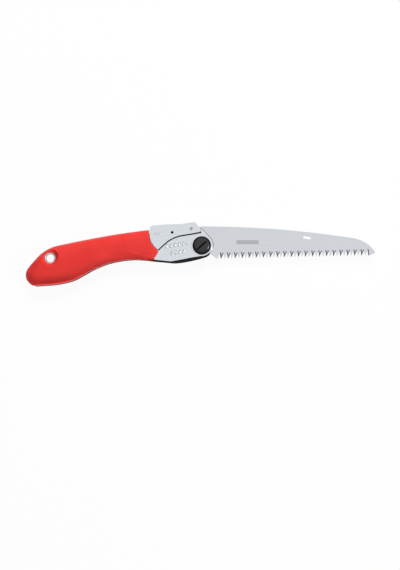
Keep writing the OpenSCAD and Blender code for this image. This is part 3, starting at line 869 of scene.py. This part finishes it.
def makeRounded(nodeName, pieceName, body, slot, finish, edge, segments):
    # a node as it is, but with round edges
    piece = copyOfNode(nodeName, pieceName)
    roundEdges(piece, edge, segments)
    smoothShade(piece)
    finishPiece(piece, body, slot, finishes[finish], nodeName)


def makeBlade():
    piece = copyOfNode("blade", "sawBlade", flatAngle=0.4)
    finishPiece(piece, "blade", "blade_steel", finishes["blade"], "blade")
    # the bevels on the teeth are neither level nor upright, and their dark steel is painted shade
    giveFaces(piece, finishes["paintedShadeSteel"], lambda face: 0.3 < abs(face.normal.z) < 0.98)


makeGrip()
for side in ("right", "left"):
    makeSidePlate(side)
    makeAllRibs(side)
    makeLiner(side)
makeLever()
makeBolt()
makeBoltRing()
makeRounded("pivot_nut", "backNut", "handle", "black_steel", "bolt", 0.3 * mm, segments=3)
makeEyelet()
makeRollPin()
makeRounded("lock_pin", "lockPin", "lever", "bare_steel", "bare", 0.2 * mm, segments=2)
makeBlade()
for nodeName, finish in (("back_spacer", "nylon"), ("frame_rivets", "bare"), ("pivot_bush", "bare"),
                         ("washer_right", "pale"), ("washer_left", "pale"), ("lever_spring", "spring")):
    nodes[nodeName].data.materials.clear()
    nodes[nodeName].data.materials.append(finishes[finish])
print("pieces ready")


def makeFloor():
    # white to the camera and in reflections, with a faint shadow under the saw
    look = {"size": 12, "below": 0.05 * mm, "white": 0.95, "shown": 0.94}
    bpy.ops.object.select_all(action="DESELECT")
    bpy.ops.mesh.primitive_plane_add(size=look["size"], location=(0, 0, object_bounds()[0][2] - look["below"]))
    floor = bpy.context.active_object
    floor.name = "studioFloor"
    material = bpy.data.materials.new("studioWhite")
    material.use_nodes = True
    tree = material.node_tree
    tree.nodes.clear()
    out = tree.nodes.new("ShaderNodeOutputMaterial")
    matt = tree.nodes.new("ShaderNodeBsdfDiffuse")
    matt.inputs["Color"].default_value = (look["white"], look["white"], look["white"], 1)
    glow = tree.nodes.new("ShaderNodeEmission")
    glow.inputs["Strength"].default_value = 1.0
    rays = tree.nodes.new("ShaderNodeLightPath")
    direct = mathNode(tree, "ADD", rays.outputs["Is Camera Ray"], rays.outputs["Is Glossy Ray"])
    seen = mathNode(tree, "ADD", direct, rays.outputs["Is Transmission Ray"], clamp=True)
    mix = tree.nodes.new("ShaderNodeMixShader")
    tree.links.new(mathNode(tree, "MULTIPLY", seen, look["shown"]), mix.inputs["Fac"])
    tree.links.new(matt.outputs[0], mix.inputs[1])
    tree.links.new(glow.outputs[0], mix.inputs[2])
    tree.links.new(mix.outputs[0], out.inputs["Surface"])
    floor.data.materials.append(material)


def makeWorld():
    # white to the camera; in reflections white overhead and pale all round; a plain level on matt surfaces
    light = {"plain": 0.12, "overhead": 1.0, "horizon": 0.25, "lean": 24, "whiteWithin": 32, "paleBeyond": 60}
    world = bpy.data.worlds.new("studioWorld")
    bpy.context.scene.world = world
    world.use_nodes = True
    tree = world.node_tree
    background = tree.nodes["Background"]
    background.inputs["Color"].default_value = (1, 1, 1, 1)
    direction = tree.nodes.new("ShaderNodeTexCoord")
    lean = math.radians(light["lean"])
    toward = tree.nodes.new("ShaderNodeVectorMath")
    toward.operation = "DOT_PRODUCT"
    toward.inputs[1].default_value = (0, math.sin(lean), math.cos(lean))
    tree.links.new(direction.outputs["Generated"], toward.inputs[0])
    paleFrom, whiteFrom = (math.cos(math.radians(light[name])) for name in ("paleBeyond", "whiteWithin"))
    shown = rangeNode(tree, toward.outputs["Value"], paleFrom, whiteFrom, light["horizon"], light["overhead"])
    rays = tree.nodes.new("ShaderNodeLightPath")
    sharp = mathNode(tree, "ADD", rays.outputs["Is Glossy Ray"], rays.outputs["Is Transmission Ray"],
                     clamp=True)
    level = mathNode(tree, "MULTIPLY", shown, rangeNode(tree, sharp, 0, 1, light["plain"], 1.0))
    strength = mathNode(tree, "MAXIMUM", level, rays.outputs["Is Camera Ray"])
    tree.links.new(strength, background.inputs["Strength"])


def addSoftbox(name, place, size, power, inReflections):
    bpy.ops.object.select_all(action="DESELECT")
    bpy.ops.object.light_add(type="AREA", location=place)
    lamp = bpy.context.active_object
    lamp.name = name
    lamp.data.shape = "RECTANGLE"
    lamp.data.size, lamp.data.size_y = size
    lamp.data.energy = power
    lamp.visible_glossy = inReflections
    lamp.rotation_euler = (-Vector(place)).to_track_quat("-Z", "Y").to_euler()


def makeCamera():
    shot = {"frameHeight": 0.6118, "aim": Vector((-0.0004, -0.033, 0.011)), "distance": 3.0, "sensor": 36.0}
    bpy.ops.object.camera_add(location=shot["aim"] + Vector((0, 0, shot["distance"])), rotation=(0, 0, 0))
    camera = bpy.context.active_object
    camera.name = "overheadCamera"
    camera.data.sensor_width = shot["sensor"]
    camera.data.lens = shot["sensor"] * shot["distance"] / shot["frameHeight"]
    bpy.context.scene.camera = camera


makeFloor()
makeWorld()
# the large lamp isn't shown in reflections, where steel would clip to white
addSoftbox("topSoftbox", (0.25, 1.6, 1.9), (1.4, 1.1), power=57, inReflections=False)
addSoftbox("sideSoftbox", (1.66, -0.5, 1.46), (0.5, 0.9), power=19, inReflections=True)
makeCamera()
bpy.context.scene.view_settings.view_transform = "Standard"
print("studio ready")
